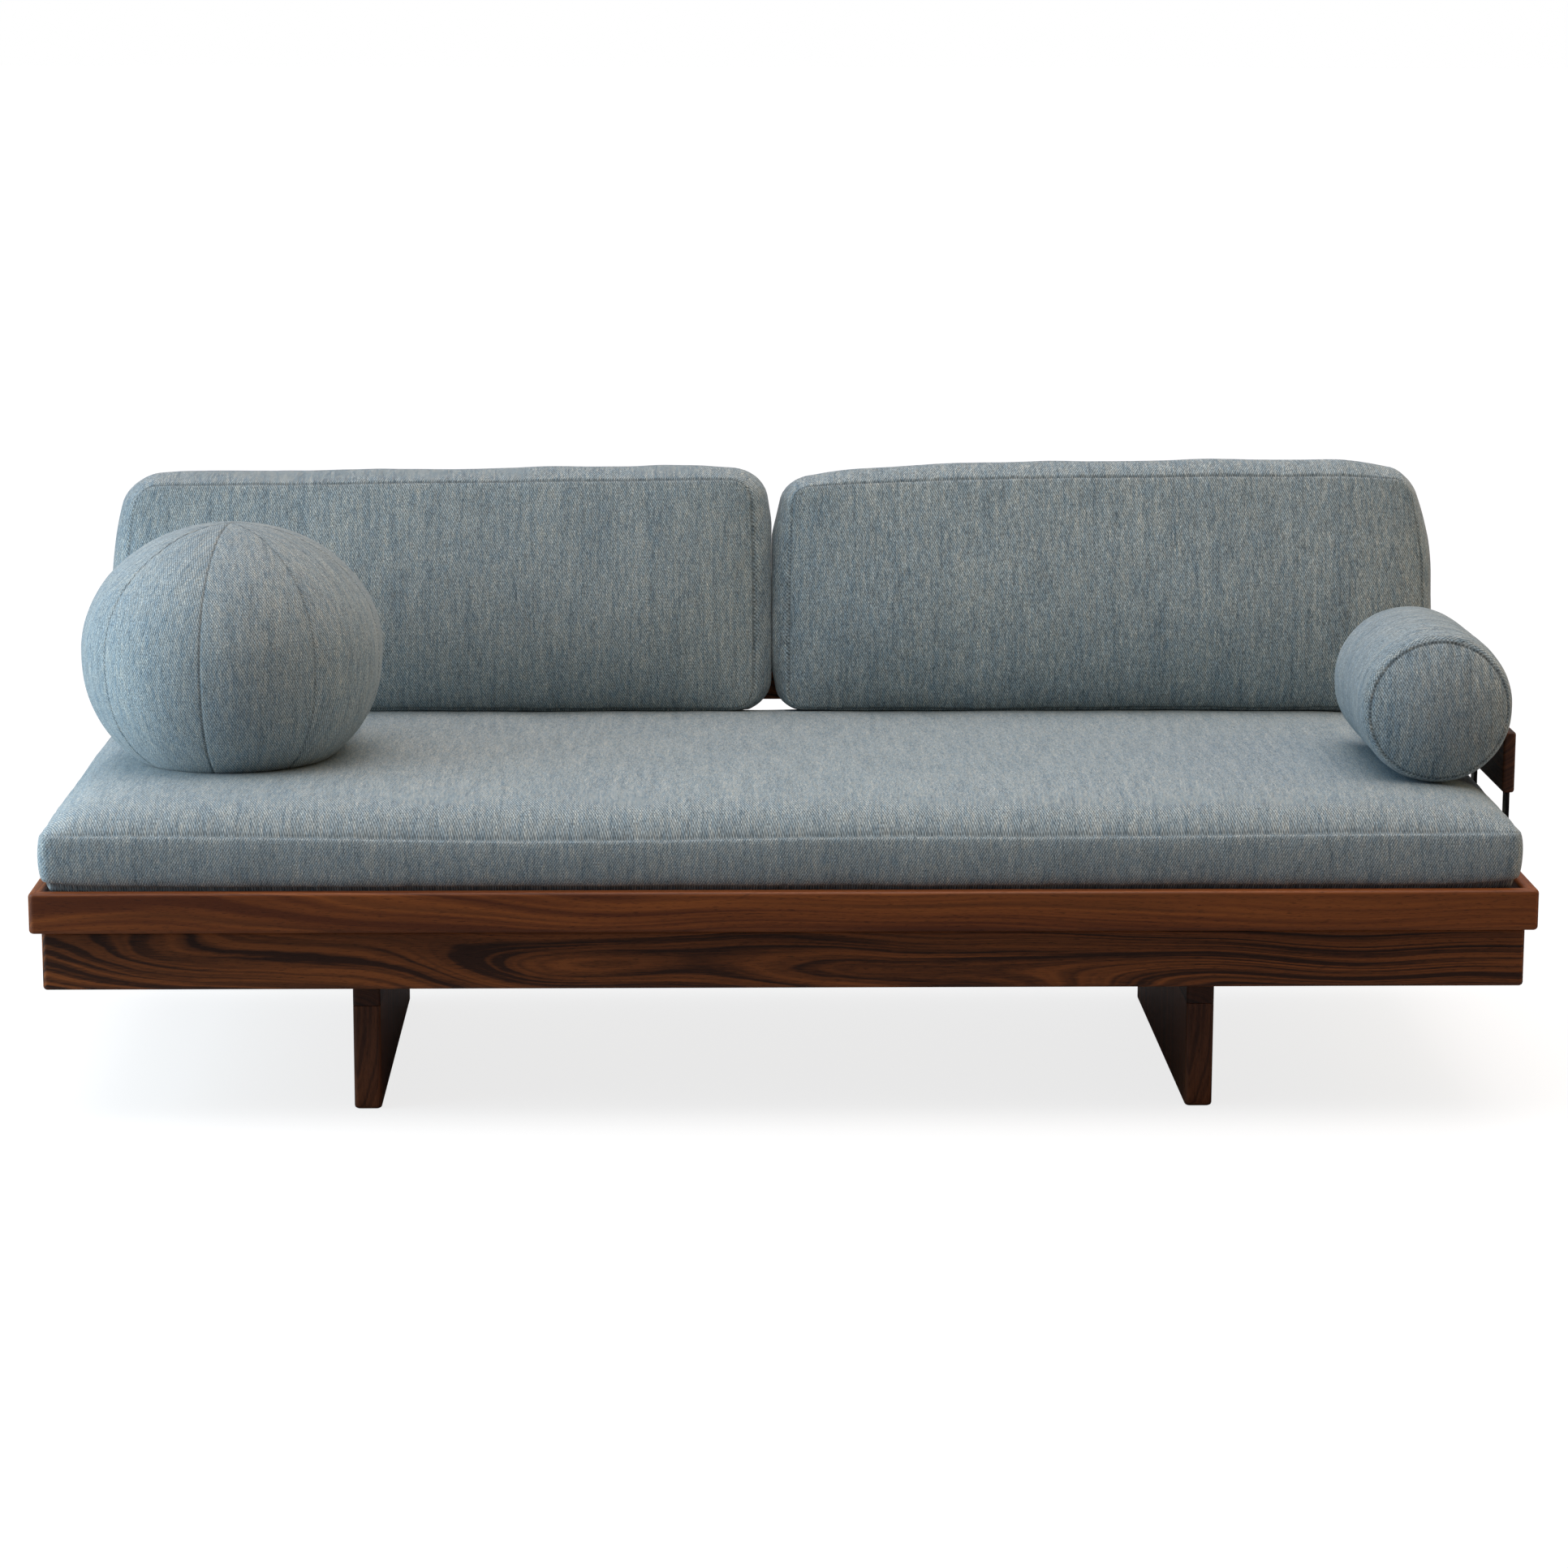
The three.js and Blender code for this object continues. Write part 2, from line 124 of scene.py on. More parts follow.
class Finish:
    """A material and the nodes that it is made of."""

    def __init__(self, name):
        self.material = bpy.data.materials.new(name)
        self.material.use_nodes = True
        self.tree = self.material.node_tree
        self.shader = self.tree.nodes["Principled BSDF"]

    def feed(self, socket, value):
        """Links a socket or a Number, or sets a constant."""
        if isinstance(value, Number):
            value = value.socket
        if isinstance(value, bpy.types.NodeSocket):
            self.tree.links.new(value, socket)
        else:
            socket.default_value = value

    def node(self, kind, settings, inputs):
        """Adds a node of a kind, with its settings first and then its sockets."""
        made = self.tree.nodes.new("ShaderNode" + kind)
        for key, value in settings.items():
            if key == "stops":
                self.set_stops(made.color_ramp, value)
            else:
                setattr(made, key, value)
        for key, value in inputs.items():
            self.feed(made.inputs[key], value)
        return made

    def set_stops(self, ramp, stops):
        while len(ramp.elements) < len(stops):
            ramp.elements.new(0.5)
        for element, (position, colour) in zip(ramp.elements, stops):
            element.position = position
            element.color = colour

    def math(self, operation, *values):
        """One Math node on numbers."""
        inputs = dict(enumerate(values))
        return Number(self, self.node("Math", {"operation": operation}, inputs).outputs[0])

    def clamp(self, value):
        return Number(self, self.node("Clamp", {}, {"Value": value}).outputs[0])

    def smooth(self, value, low, high):
        """0 below low, 1 above high, and a soft step between them."""
        settings = {"interpolation_type": "SMOOTHSTEP"}
        inputs = {"Value": value, "From Min": low, "From Max": high}
        return Number(self, self.node("MapRange", settings, inputs).outputs[0])

    def combine(self, x, y, z):
        return self.node("CombineXYZ", {}, {0: x, 1: y, 2: z}).outputs[0]

    def separate(self, vector):
        made = self.node("SeparateXYZ", {}, {0: vector})
        return [Number(self, socket) for socket in made.outputs]

    def noise(self, vector, scale, detail=2.0, roughness=0.5):
        """Smooth random variation from 0 to 1."""
        inputs = {"Vector": vector, "Scale": scale, "Detail": detail, "Roughness": roughness}
        return Number(self, self.node("TexNoise", {}, inputs).outputs["Fac"])

    def mix(self, share, first, second, blend="MIX"):
        """Colour first turning into colour second as share goes from 0 to 1."""
        settings = {"data_type": "RGBA", "blend_type": blend}
        return self.node("Mix", settings, {0: share, 6: first, 7: second}).outputs[2]

    def bump(self, height, distance, strength=1.0):
        inputs = {"Height": height, "Distance": distance, "Strength": strength}
        return self.node("Bump", {}, inputs).outputs[0]

    def show(self, colour, roughness, normal=None):
        self.feed(self.shader.inputs["Base Color"], colour)
        self.feed(self.shader.inputs["Roughness"], roughness)
        if normal is not None:
            self.feed(self.shader.inputs["Normal"], normal)


def rgb(*values):
    """A colour given as it looks on a screen, from 0 to 255, as a light amount for the shader."""
    share = np.array(values) / 255
    linear = np.where(share <= 0.04045, share / 12.92, ((share + 0.055) / 1.055) ** 2.4)
    return (*linear.tolist(), 1)


print("shader helpers ready")

# %% [markdown]
# ## The cloth
# The covers are one melange twill: steep diagonal ribs about 3 mm apart, and warp yarns whose colour
# changes along their length between cream, pale blue and slate, which shows as short streaks. A yarn is
# a strip of u with a noise of its own along v, and fine dots stand for where the yarns cross. The
# pattern reads the piece's own UV map, laid out in metres like the cut panels (u across the warp, v
# along it), so the ribs and the streaks turn with each panel and break at each seam.

# %% Weave the cloth
RIB_ACROSS, RIB_ALONG = 3.5 * MM, 6.0 * MM
YARN = 1.2 * MM


def melange(name, shift, seam_shade):
    """Colour = yarns, each with its own run of light and dark along v, times the twill's light and dark.

    The twill is a cosine of u / 3.5 mm + v / 6 mm, crossed by a weaker one of the opposite slope.
    shift moves the pattern, so that no two covers are alike, and seam_shade is how much painted shade
    darkens the seams' grooves.
    """
    finish = Finish(name)
    uv = finish.node("UVMap", {"uv_map": "cloth"}, {}).outputs[0]
    u, v, _ = finish.separate(uv)
    u, v = u + shift, v + shift * 0.37

    def streaks(across, along, detail=1.0):
        """Noise whose spots are across wide in u and along long in v."""
        spot = finish.combine(u * (1 / across), v * (1 / along), shift)
        return finish.noise(spot, 1.0, detail)

    def strands(width, along):
        """Noise that is one value across a strand of a width, and changes about every along in v."""
        strand = finish.math("FLOOR", u * (1 / width))
        return finish.noise(finish.combine(strand * 1.37, v * (1 / along), shift + width / MM), 1.0, 1.0)

    yarns = strands(YARN, 7 * MM)
    slubs = strands(1.6 * YARN, 20 * MM)
    bands = streaks(10 * MM, 130 * MM)
    tint = strands(1.8 * YARN, 18 * MM)
    dots = streaks(1.5 * MM, 2.6 * MM, 0.0)
    level = yarns * 0.42 + slubs * 0.36 + bands * 0.22
    stops = [
        (0.34, rgb(106, 121, 130)),
        (0.45, rgb(137, 150, 156)),
        (0.56, rgb(163, 172, 174)),
        (0.69, rgb(192, 193, 185)),
    ]
    base = finish.node("ValToRGB", {"stops": stops}, {0: level}).outputs[0]
    bluish = finish.smooth(tint, 0.50, 0.68)
    creamy = 1 - finish.smooth(tint, 0.34, 0.48)
    base = finish.mix(bluish * 0.30, base, rgb(124, 150, 168))
    base = finish.mix(creamy * 0.26, base, rgb(176, 172, 160))

    turn = 2 * math.pi
    down = finish.math("COSINE", (u * (1 / RIB_ACROSS) + v * (1 / RIB_ALONG)) * turn)
    up = finish.math("COSINE", (u * (1 / RIB_ACROSS) - v * (1 / RIB_ALONG)) * turn)
    twill = down * 0.34 + up * 0.16 + 0.5
    light = (twill * 1.0 + 0.5) * (dots * 1.3 + 0.35)
    seam = finish.node("Attribute", {"attribute_name": "seam"}, {}).outputs["Fac"]
    seam = Number(finish, seam)
    # painted shade: the cloth is darkened along the seams' grooves, on top of the groove that the mesh has
    light = light * (1 - seam * seam_shade)
    shade = finish.node("CombineColor", {}, {0: light, 1: light, 2: light}).outputs[0]
    colour = finish.mix(1.0, base, shade, "MULTIPLY")

    relief = twill * 0.7 + yarns * 0.5
    finish.show(colour, 0.93 - twill * 0.12, finish.bump(relief, 0.3 * MM, 0.6))
    finish.shader.inputs["Sheen Weight"].default_value = 0.22
    finish.shader.inputs["Sheen Roughness"].default_value = 0.55
    finish.shader.inputs["Specular IOR Level"].default_value = 0.25
    return finish.material


print("cloth ready")

# %% [markdown]
# ## The walnut
# A board is cut out of a trunk, so its grain is a slice through nested, slightly wavy cylinders. The
# material works that out in three dimensions: the distance from a tilted pith line gives the growth
# rings, and the same rings then meet correctly on a board's face, edge and end. A pith line that runs
# close under the face and slopes gives the tall arches of a flat-sawn board; one far away gives straight
# lines.

# %% Grow the walnut
def walnut(name, middle, grain, pith, slope, colours, contrast=1.0, wave=1.0):
    """Dark and light follow noises of the distance from the pith line: 25, 6 and 2 mm rings.

    middle is the board's centre, grain the turn that lays the fibre along local x, and pith the pith
    line's place beside the centre, in local y and z. slope tilts the line in y and z per metre of x.
    """
    light, dark = colours
    finish = Finish(name)
    spot = finish.node("TexCoord", {}, {}).outputs["Object"]
    settings = {"vector_type": "TEXTURE"}
    inputs = {"Vector": spot, "Location": middle, "Rotation": grain}
    local = finish.node("Mapping", settings, inputs).outputs[0]
    x, y, z = finish.separate(local)

    start = pith[0] * 90
    bend = finish.noise(finish.combine(x * 1.5 + start, y * 7, z * 7), 1.0, 1.0)
    other = finish.noise(finish.combine(x * 2.1 - start, y * 6, z * 6), 1.0, 1.0)
    tremble = finish.noise(finish.combine(x * 9, y * 40, z * 40), 1.0, 2.0)
    far_y = y - pith[0] + x * slope[0] + (bend - 0.5) * (0.10 * wave)
    far_z = z - pith[1] + x * slope[1] + (other - 0.5) * (0.10 * wave)
    radius = finish.math("SQRT", far_y * far_y + far_z * far_z) + (tremble - 0.5) * (0.004 * wave)
    wide = finish.noise(finish.combine(radius * 40, x * 0.5, 1.0), 1.0, 1.0)
    rings = finish.noise(finish.combine(radius * 170, x * 1.0, 2.0), 1.0, 1.0)
    lines = finish.noise(finish.combine(radius * 520, x * 2.5, 3.0), 1.0, 1.0)
    fibre = finish.noise(finish.combine(x * 30, y * 700, z * 700), 1.0, 2.0)
    streak = (wide - 0.5) * 1.4 + (rings - 0.5) * 3.2 + (lines - 0.5) * 2.2 + (fibre - 0.5) * 0.8
    share = finish.clamp(streak * contrast + 0.5)
    colour = finish.mix(share, dark, light)
    veins = finish.smooth(rings, 0.60, 0.72)
    colour = finish.mix(veins * (0.55 * contrast), colour, rgb(34, 16, 9))
    pores = finish.smooth(finish.noise(finish.combine(x * 85, y * 1150, z * 1150), 1.0, 1.0), 0.60, 0.70)
    colour = finish.mix(pores * 0.45, colour, rgb(24, 11, 6))
    # painted highlight: where the 'edge' attribute is high, on the rounded edges and ends, the colour is
    # mixed towards a paler tan
    edge = Number(finish, finish.node("Attribute", {"attribute_name": "edge"}, {}).outputs["Fac"])
    colour = finish.mix(edge * 0.08, colour, rgb(150, 92, 60))

    relief = (1 - pores) * 0.5 + fibre * 0.35 + share * 0.15
    rough = 0.46 + fibre * 0.12 + pores * 0.15 - edge * 0.04
    finish.show(colour, rough, finish.bump(relief, 0.10 * MM, 0.7))
    finish.shader.inputs["Specular IOR Level"].default_value = 0.35
    return finish.material


print("walnut ready")

# %% [markdown]
# ## Meshes from grids
# Each surface is a patch: an array of points with rows and columns, worked out all at once from two
# parameters. Patches that meet share the points on their common edge, so they are sewn together by
# merging what lies in one place. The UV map is kept per patch, so it may jump at a seam, as real cloth
# does.


# %% Sew patches into one piece
SEAM_WIDTH = 1.6 * MM


class Patch:
    """A grid of points (rows, columns, 3), its cloth map (rows, columns, 2) and how far each is from
    the nearest seam."""

    def __init__(self, points, cloth, away):
        self.points = points
        self.cloth = cloth
        self.away = np.broadcast_to(away, points.shape[:2])


def grid_faces(rows, columns, start):
    """Every cell (i, j) of the grid as the quad of its four corners, counted anticlockwise."""
    corner = start + np.arange(rows - 1)[:, None] * columns + np.arange(columns - 1)
    quads = np.stack([corner, corner + 1, corner + columns + 1, corner + columns], axis=-1)
    return quads.reshape(-1, 4)


def new_mesh(name, points, faces):
    mesh = bpy.data.meshes.new(name)
    mesh.from_pydata(points.tolist(), [], faces)
    return mesh


def set_floats(mesh, name, values):
    attribute = mesh.attributes.new(name, "FLOAT", "POINT")
    attribute.data.foreach_set("value", np.ascontiguousarray(values, np.float32).ravel())


def get_points(mesh):
    points = np.empty(len(mesh.vertices) * 3)
    mesh.vertices.foreach_get("co", points)
    return points.reshape(-1, 3)


def get_normals(mesh):
    normals = np.empty(len(mesh.vertices) * 3)
    mesh.vertex_normals.foreach_get("vector", normals)
    return normals.reshape(-1, 3)


def get_floats(mesh, name):
    values = np.empty(len(mesh.vertices))
    mesh.attributes[name].data.foreach_get("value", values)
    return values


def weld(mesh, distance=0.02 * MM):
    """Merges points in one place, drops the faces that this flattens, and turns all faces outwards."""
    shape = bmesh.new()
    shape.from_mesh(mesh)
    bmesh.ops.remove_doubles(shape, verts=shape.verts, dist=distance)
    bmesh.ops.dissolve_degenerate(shape, dist=distance / 2, edges=shape.edges)
    bmesh.ops.recalc_face_normals(shape, faces=shape.faces)
    shape.to_mesh(mesh)
    shape.free()


def sew(name, patches):
    """Joins the patches into one closed mesh."""
    points = np.concatenate([patch.points.reshape(-1, 3) for patch in patches])
    cloth = np.concatenate([patch.cloth.reshape(-1, 2) for patch in patches])
    away = np.concatenate([patch.away.reshape(-1) for patch in patches])
    faces, start = [], 0
    for patch in patches:
        rows, columns = patch.points.shape[:2]
        faces.append(grid_faces(rows, columns, start))
        start += rows * columns
    faces = np.concatenate(faces)
    mesh = new_mesh(name, points, faces.tolist())
    layer = mesh.uv_layers.new(name="cloth")
    layer.data.foreach_set("uv", cloth[faces.ravel()].astype(np.float32).ravel())
    set_floats(mesh, "away", away)
    set_floats(mesh, "seam", np.exp(-(away / SEAM_WIDTH) ** 2))
    weld(mesh)
    mesh.shade_smooth()
    return mesh


def place(name, mesh, material, body, replaced):
    """Puts a finished mesh into the scene as a piece that rides on a CAD body."""
    piece = bpy.data.objects.new(name, mesh)
    scene.collection.objects.link(piece)
    mesh.materials.append(material)
    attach(piece, body)
    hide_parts(*replaced)
    print(f"{name}: {len(mesh.polygons)} faces")
    return piece


print("sewing helpers ready")

# %% [markdown]
# ## Rounded boards
# A board is its cross-section, a rectangle with round corners, carried along the grain. Its ends round
# over too: the section shrinks a little as it follows a quarter circle. Each corner arc has a guard
# point just past it on the flat, so that smooth shading bends only in the round part. The round parts
# also get a painted highlight, paler towards the middle of each arc.

# %% Shape a board
ARC_STEPS = 5


def section(width, height, radius):
    """A closed rectangle with round corners, and how close each point is to a corner's middle, which is its
    share of painted highlight.
    """
    angle = np.linspace(0, np.pi / 2, ARC_STEPS)
    arc = np.stack([np.cos(angle), np.sin(angle)], axis=1) * radius
    guard = 0.5 * radius
    arc = np.concatenate([arc[:1] - [0, guard], arc, arc[-1:] - [guard, 0]])
    # painted highlight share: highest in the middle of each corner arc, none on the guard points
    edge_highlight = np.concatenate([[0], np.sin(2 * angle) * 0.7 + 0.3, [0]])
    points = []
    for turn in range(4):
        cosine, sine = [(1, 0), (0, 1), (-1, 0), (0, -1)][turn]
        centre = np.array([(width / 2 - radius) * (1, -1, -1, 1)[turn],
                           (height / 2 - radius) * (1, 1, -1, -1)[turn]])
        turned = arc @ np.array([[cosine, sine], [-sine, cosine]])
        points.append(centre + turned)
    return np.concatenate(points), np.tile(edge_highlight, 4)


def cap_faces(count, rows):
    """Quads round the rings and one flat face at each end."""
    ring = np.arange(count)
    following = (ring + 1) % count
    row = np.arange(rows - 1)[:, None] * count
    quads = np.stack([row + ring, row + following, row + following + count, row + ring + count], axis=-1)
    ends = [ring[::-1].tolist(), (ring + (rows - 1) * count).tolist()]
    return quads.reshape(-1, 4).tolist() + ends


def finish_board(node, rings, edge_highlight, material):
    """Closes the rings into a mesh that stands for a wooden CAD node."""
    mesh = new_mesh(node, rings.reshape(-1, 3), cap_faces(rings.shape[1], rings.shape[0]))
    # the 'edge' attribute holds the painted-highlight share that the walnut's colour reads
    set_floats(mesh, "edge", edge_highlight)
    weld(mesh)
    mesh.shade_smooth()
    return place(f"{node}_wood", mesh, material, "frame", [node])


def straight_board(node, low, high, along, edge, material, ends=None):
    """A section in the two short directions, at stations along the long one; both ends round over.

    ends gives the radius at the low and the high end, when it is not the same as at the other edges.
    """
    low, high = np.array(low), np.array(high)
    size = high - low
    across = [(along + 1) % 3, (along + 2) % 3]
    flat, corner = section(size[across[0]], size[across[1]], edge)
    angle = np.linspace(0, np.pi / 2, ARC_STEPS)
    stations, shrinks, end_highlight = [], [], []
    for radius, order in zip(ends or (edge, edge), (1, -1)):
        travel = np.append(radius * (1 - np.cos(angle)), 1.5 * radius)
        stations.append(travel if order == 1 else size[along] - travel[::-1])
        shrinks.append(np.append(radius * (1 - np.sin(angle)), 0)[::order])
        # painted highlight share over each rounded-over end
        end_highlight.append(np.append(np.sin(2 * angle) * 0.7 + 0.3, 0)[::order])
    stations, shrinks, end_highlight = (np.concatenate(part) for part in (stations, shrinks, end_highlight))
    limits = np.array([size[across[0]], size[across[1]]]) / 2
    scale = (limits - shrinks[:, None]) / limits
    rings = np.zeros((len(stations), len(flat), 3))
    centre = (low + high) / 2
    rings[..., along] = low[along] + stations[:, None]
    for number, axis in enumerate(across):
        rings[..., axis] = centre[axis] + flat[:, number] * scale[:, number, None]
    # painted highlight share: the larger of the edges' share and the ends' share
    edge_highlight = np.maximum(corner, end_highlight[:, None])
    return finish_board(node, rings, edge_highlight, material)


def mitred_board(node, side, half_length, half_depth, wall, low, high, edge, corner, material):
    """A section carried along one side of a rectangle, up to the mitre in the middle of each corner.

    A point that lies d inside the outer face follows the straight, then the corner's arc of radius
    corner - d; further inside than the corner's radius it goes straight to the mitre line.
    """
    turn = ["front", "right", "back", "left"].index(side)
    length, depth = (half_length, half_depth) if turn % 2 == 0 else (half_depth, half_length)
    flat, edge_highlight = section(wall, high - low, edge)
    inside = flat[:, 0] + wall / 2
    height = flat[:, 1] + (low + high) / 2
    step = np.linspace(0, 1, 9)[:, None]
    angle = np.clip(2 * step - 1, 0, 1) * np.pi / 4
    radius = np.maximum(corner - inside, 0)
    straight = length - corner - (1 - np.clip(2 * step, 0, 1)) * wall * 1.2
    round_x = straight + radius * np.sin(angle)
    round_y = corner - radius * np.cos(angle)
    begin = length - corner - wall * 1.2
    sharp_x = begin + (length - inside - begin) * step
    is_round = inside < corner
    x = np.where(is_round, round_x, sharp_x) - 0.1 * MM * step
    y = np.where(is_round, round_y, inside + 0 * step) - depth
    z = np.broadcast_to(height, x.shape)
    right = np.stack([x, y, z], axis=-1)
    left = right[::-1] * [-1, 1, 1]
    rings = np.concatenate([left, right])
    cosine, sine = [(1, 0), (0, 1), (-1, 0), (0, -1)][turn]
    rings[..., :2] = rings[..., :2] @ np.array([[cosine, sine], [-sine, cosine]])
    # the same painted highlight share at every station along the board
    edge_highlight = np.broadcast_to(edge_highlight, rings.shape[:2])
    return finish_board(node, rings, edge_highlight, material)


print("board helpers ready")

# %% [markdown]
# ## The tray, the apron and the legs
# The rim's boards are straight-grained and redder; the apron's boards are flat-sawn, with dark arches.
# The front and back boards run along X, so their grain needs no turn; the end boards run along Y. The
# leg panels are glued up with their fibre upright, under a rail that shows its end grain to the front.

# %% Build the wooden frame
ALONG_X, ALONG_Y, UPRIGHT = (0, 0, 0), (0, 0, math.pi / 2), (0, math.pi / 2, 0)
RIM = rgb(156, 86, 37), rgb(98, 47, 19)
APRON = rgb(150, 84, 38), rgb(56, 26, 9)
ARM = rgb(96, 56, 34), rgb(52, 28, 17)
LEG = rgb(142, 84, 50), rgb(78, 42, 25)
LEG_RAIL = rgb(84, 46, 28), rgb(48, 25, 16)
SIDES = ["front", "right", "back", "left"]
WALL = 20 * MM
FRAME_EDGE = 5 * MM
LEG_EDGE = 6 * MM
BOARD_EDGE = 4 * MM
JOINT_EDGE = 0.5 * MM


def middle(node):
    low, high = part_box(node)
    return tuple((low + high) / 2)


def build_rim():
    bottom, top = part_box("tray_rail_front")[0].z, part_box("tray_rail_front")[1].z
    piths = [(0.10, 0.05), (0.12, -0.06), (0.14, 0.02), (0.17, 0.05)]
    for side, pith in zip(SIDES, piths):
        node = f"tray_rail_{side}"
        grain = ALONG_X if side in ("front", "back") else ALONG_Y
        wood = walnut(node, middle(node), grain, pith, (0.02, -0.012), RIM, 0.7, 0.35)
        mitred_board(node, side, planned[1].x, planned[1].y, WALL, bottom, top, FRAME_EDGE, 8 * MM, wood)


def build_apron():
    half_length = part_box("apron_right")[1].x
    half_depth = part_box("apron_back")[1].y
    bottom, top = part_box("apron_front")[0].z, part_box("apron_front")[1].z
    piths = [(0.045, -0.012), (0.05, 0.02), (0.06, 0.0), (0.05, -0.01)]
    for side, pith in zip(SIDES, piths):
        node = f"apron_{side}"
        grain = ALONG_X if side in ("front", "back") else ALONG_Y
        wood = walnut(node, middle(node), grain, pith, (0.035, 0.045), APRON, 1.1, 0.65)
        mitred_board(node, side, half_length, half_depth, WALL, bottom, top, FRAME_EDGE, 7 * MM, wood)


def build_legs():
    for side in ("left", "right"):
        panel, rail = f"leg_panel_{side}", f"leg_top_rail_{side}"
        wood = walnut(panel, middle(panel), UPRIGHT, (0.07, 0.05), (0.05, 0.1), LEG, 0.9, 0.7)
        straight_board(panel, *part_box(panel), 2, LEG_EDGE, wood, (FRAME_EDGE, JOINT_EDGE))
        wood = walnut(rail, middle(rail), ALONG_Y, (0.02, -0.05), (0.03, 0.02), LEG_RAIL, 0.9, 0.5)
        straight_board(rail, *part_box(rail), 2, LEG_EDGE, wood, (JOINT_EDGE, JOINT_EDGE))


def build_boards():
    wood = walnut("arm_board", middle("arm_board"), ALONG_Y, (0.05, 0.1), (0.04, 0.02), ARM, 0.8, 0.6)
    straight_board("arm_board", *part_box("arm_board"), 1, BOARD_EDGE, wood)
    wood = walnut("back_board", middle("back_board"), ALONG_X, (0.06, -0.02), (0.03, 0.02), APRON)
    straight_board("back_board", *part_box("back_board"), 0, BOARD_EDGE, wood)


build_rim()
build_apron()
build_legs()
build_boards()

# %% [markdown]
# ## Steel, plywood and bolts
# The flat bars are black steel, the slats and supports are pale plywood, and the bolts are zinc plated.
# Their CAD shapes are right, so they stay and only get a finish.


# %% Finish the hardware and the base
def black_steel():
    """Dark satin paint with a faint mill grain and spots of wear."""
    finish = Finish("black_steel")
    spot = finish.node("TexCoord", {}, {}).outputs["Object"]
    x, y, z = finish.separate(spot)
    grain = finish.noise(finish.combine(x * 900, y * 900, z * 40), 1.0, 2.0)
    spots = finish.smooth(finish.noise(spot, 60.0, 3.0), 0.55, 0.8)
    colour = finish.mix(spots * 0.5, rgb(30, 29, 32), rgb(58, 56, 58))
    finish.show(colour, 0.34 + grain * 0.18, finish.bump(grain, 0.05 * MM, 0.5))
    finish.shader.inputs["Metallic"].default_value = 0.7
    return finish.material


def plywood():
    """Pale birch: long soft grain lines with fine fibres."""
    finish = Finish("plywood")
    spot = finish.node("TexCoord", {}, {}).outputs["Object"]
    x, y, z = finish.separate(spot)
    grain = finish.noise(finish.combine(x * 60, y * 4, z * 500), 1.0, 3.0)
    fibre = finish.noise(finish.combine(x * 700, y * 30, z * 700), 1.0, 2.0)
    share = finish.clamp(grain * 0.8 + fibre * 0.3 - 0.1)
    colour = finish.mix(share, rgb(205, 172, 128), rgb(160, 122, 84))
    finish.show(colour, 0.62 + fibre * 0.15, finish.bump(fibre, 0.08 * MM, 0.6))
    return finish.material


def zinc():
    """Bright plating, a little cloudy."""
    finish = Finish("zinc")
    spot = finish.node("TexCoord", {}, {}).outputs["Object"]
    cloud = finish.noise(spot, 240.0, 3.0)
    colour = finish.mix(cloud, rgb(190, 190, 186), rgb(150, 150, 150))
    finish.show(colour, 0.25 + cloud * 0.2, finish.bump(cloud, 0.05 * MM, 0.4))
    finish.shader.inputs["Metallic"].default_value = 1.0
    return finish.material


def bar_piece(node, material):
    """A flat bar with its edges just broken, as a section carried upwards."""
    low, high = (np.array(corner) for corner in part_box(node))
    flat, _ = section(high[0] - low[0], high[1] - low[1], 0.8 * MM)
    rings = np.zeros((2, len(flat), 3))
    rings[..., :2] = (low[:2] + high[:2]) / 2 + flat
    rings[0, :, 2], rings[1, :, 2] = low[2], high[2]
    mesh = new_mesh(node, rings.reshape(-1, 3), cap_faces(len(flat), 2))
    weld(mesh)
    mesh.shade_smooth()
    return place(f"{node}_steel", mesh, material, "frame", [node])


STEEL, PLYWOOD, ZINC = black_steel(), plywood(), zinc()
for node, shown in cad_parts.items():
    if "_bar_" in node:
        bar_piece(node, STEEL)
    elif node.startswith(("slat", "ledger", "centre_beam", "cross_bearer", "corner_block")):
        shown.data.materials.clear()
        shown.data.materials.append(PLYWOOD)
    elif "bolt" in node:
        shown.data.materials.clear()
        shown.data.materials.append(ZINC)

# %% [markdown]
# ## A sewn, boxed form
# The mattress and the back cushions are made alike: two flat-cut panels joined by a boxing strip, over
# foam. The panel bows out, and the strip bulges between its two seams. One function makes that form
# lying down: a grid for each panel, with the corner squares folded onto quarter discs, and a strip
# whose rings start and end on the panels' edges.


# %% Work out a boxed form
def spread(length, fine, coarse, reach):
    """Places from 0 to length: fine steps within reach of both ends and coarse steps between."""
    edge = np.arange(0, reach, fine)
    count = max(2, round((length - 2 * reach) / coarse))
    inner = np.linspace(reach, length - reach, count + 1)
    return np.concatenate([edge, inner, length - edge[::-1]])


def ripple(points, wavelength, seed, waves=24):
    """Smooth random relief from -1 to 1: the mean of many plane waves of about one wavelength."""
    chance = np.random.default_rng(seed)
    direction = chance.normal(size=(waves, 3))
    direction /= np.linalg.norm(direction, axis=1, keepdims=True)
    length = wavelength * chance.uniform(0.7, 1.5, waves)
    phase = chance.uniform(0, 2 * np.pi, waves)
    angle = points @ (direction / length[:, None]).T * 2 * np.pi + phase
    return np.sin(angle).mean(axis=-1) * math.sqrt(waves) / 1.8


